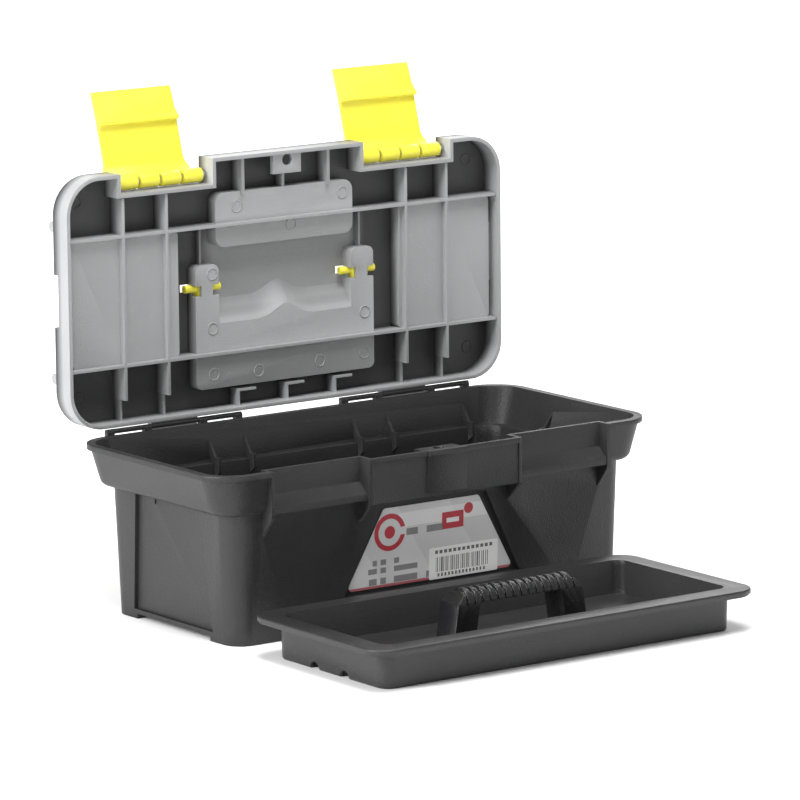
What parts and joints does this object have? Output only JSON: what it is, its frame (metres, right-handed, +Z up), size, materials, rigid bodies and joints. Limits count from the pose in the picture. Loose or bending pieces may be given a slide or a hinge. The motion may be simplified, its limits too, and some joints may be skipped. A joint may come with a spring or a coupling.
{
  "type": "tool box",
  "caption": "Small moulded tool box with a ribbed hinged lid, snap latches, a fold-flat carry handle and a lift-out tray with a ribbed grip.",
  "frame": {"origin": "centre of the bottom resting face of the box", "axes": "+Z up, -Y towards the latches, +X along the box to the right as seen from the latch side"},
  "size_m": [0.25, 0.262, 0.2381],
  "materials": {
    "dark_plastic": "fine grained moulded polypropylene, dark grey",
    "lid_plastic": "fine grained moulded polypropylene, mid grey",
    "yellow_plastic": "smooth moulded polypropylene, slightly translucent bright yellow",
    "label_paper": "satin printed label",
    "sticker_paper": "white printed sticker"
  },
  "bodies": {
    "box": {"base": "dark_plastic", "front_label": "label_paper", "barcode_label": "sticker_paper"},
    "lid": {"lid": "lid_plastic"},
    "handle": {"carry_handle": "yellow_plastic"},
    "latch_l": {"latch_left": "yellow_plastic"},
    "latch_r": {"latch_right": "yellow_plastic"},
    "tray": {"tray": "dark_plastic", "tray_grip": "dark_plastic"}
  },
  "joints": [
    {"name": "lid_hinge", "type": "hinge", "parent": "box", "child": "lid", "pos_m": [0, 0.0625, 0.0825], "axis": [-1, 0, 0], "range_deg": [-90, 0]},
    {"name": "latch_left_hinge", "type": "hinge", "parent": "lid", "child": "latch_l", "pos_m": [-0.06915, 0.0693, 0.1977], "axis": [-1, 0, 0], "range_deg": [-106, 0]},
    {"name": "latch_right_hinge", "type": "hinge", "parent": "lid", "child": "latch_r", "pos_m": [0.06915, 0.0693, 0.1977], "axis": [-1, 0, 0], "range_deg": [-106, 0]},
    {"name": "handle_hinge", "type": "hinge", "parent": "lid", "child": "handle", "pos_m": [0, 0.0704, 0.1437], "axis": [1, 0, 0], "range_deg": [0, 95]},
    {"name": "tray_lift", "type": "slide", "parent": "box", "child": "tray", "axis": [0, 0, 1], "range_m": [0, 0.15]}
  ]
}
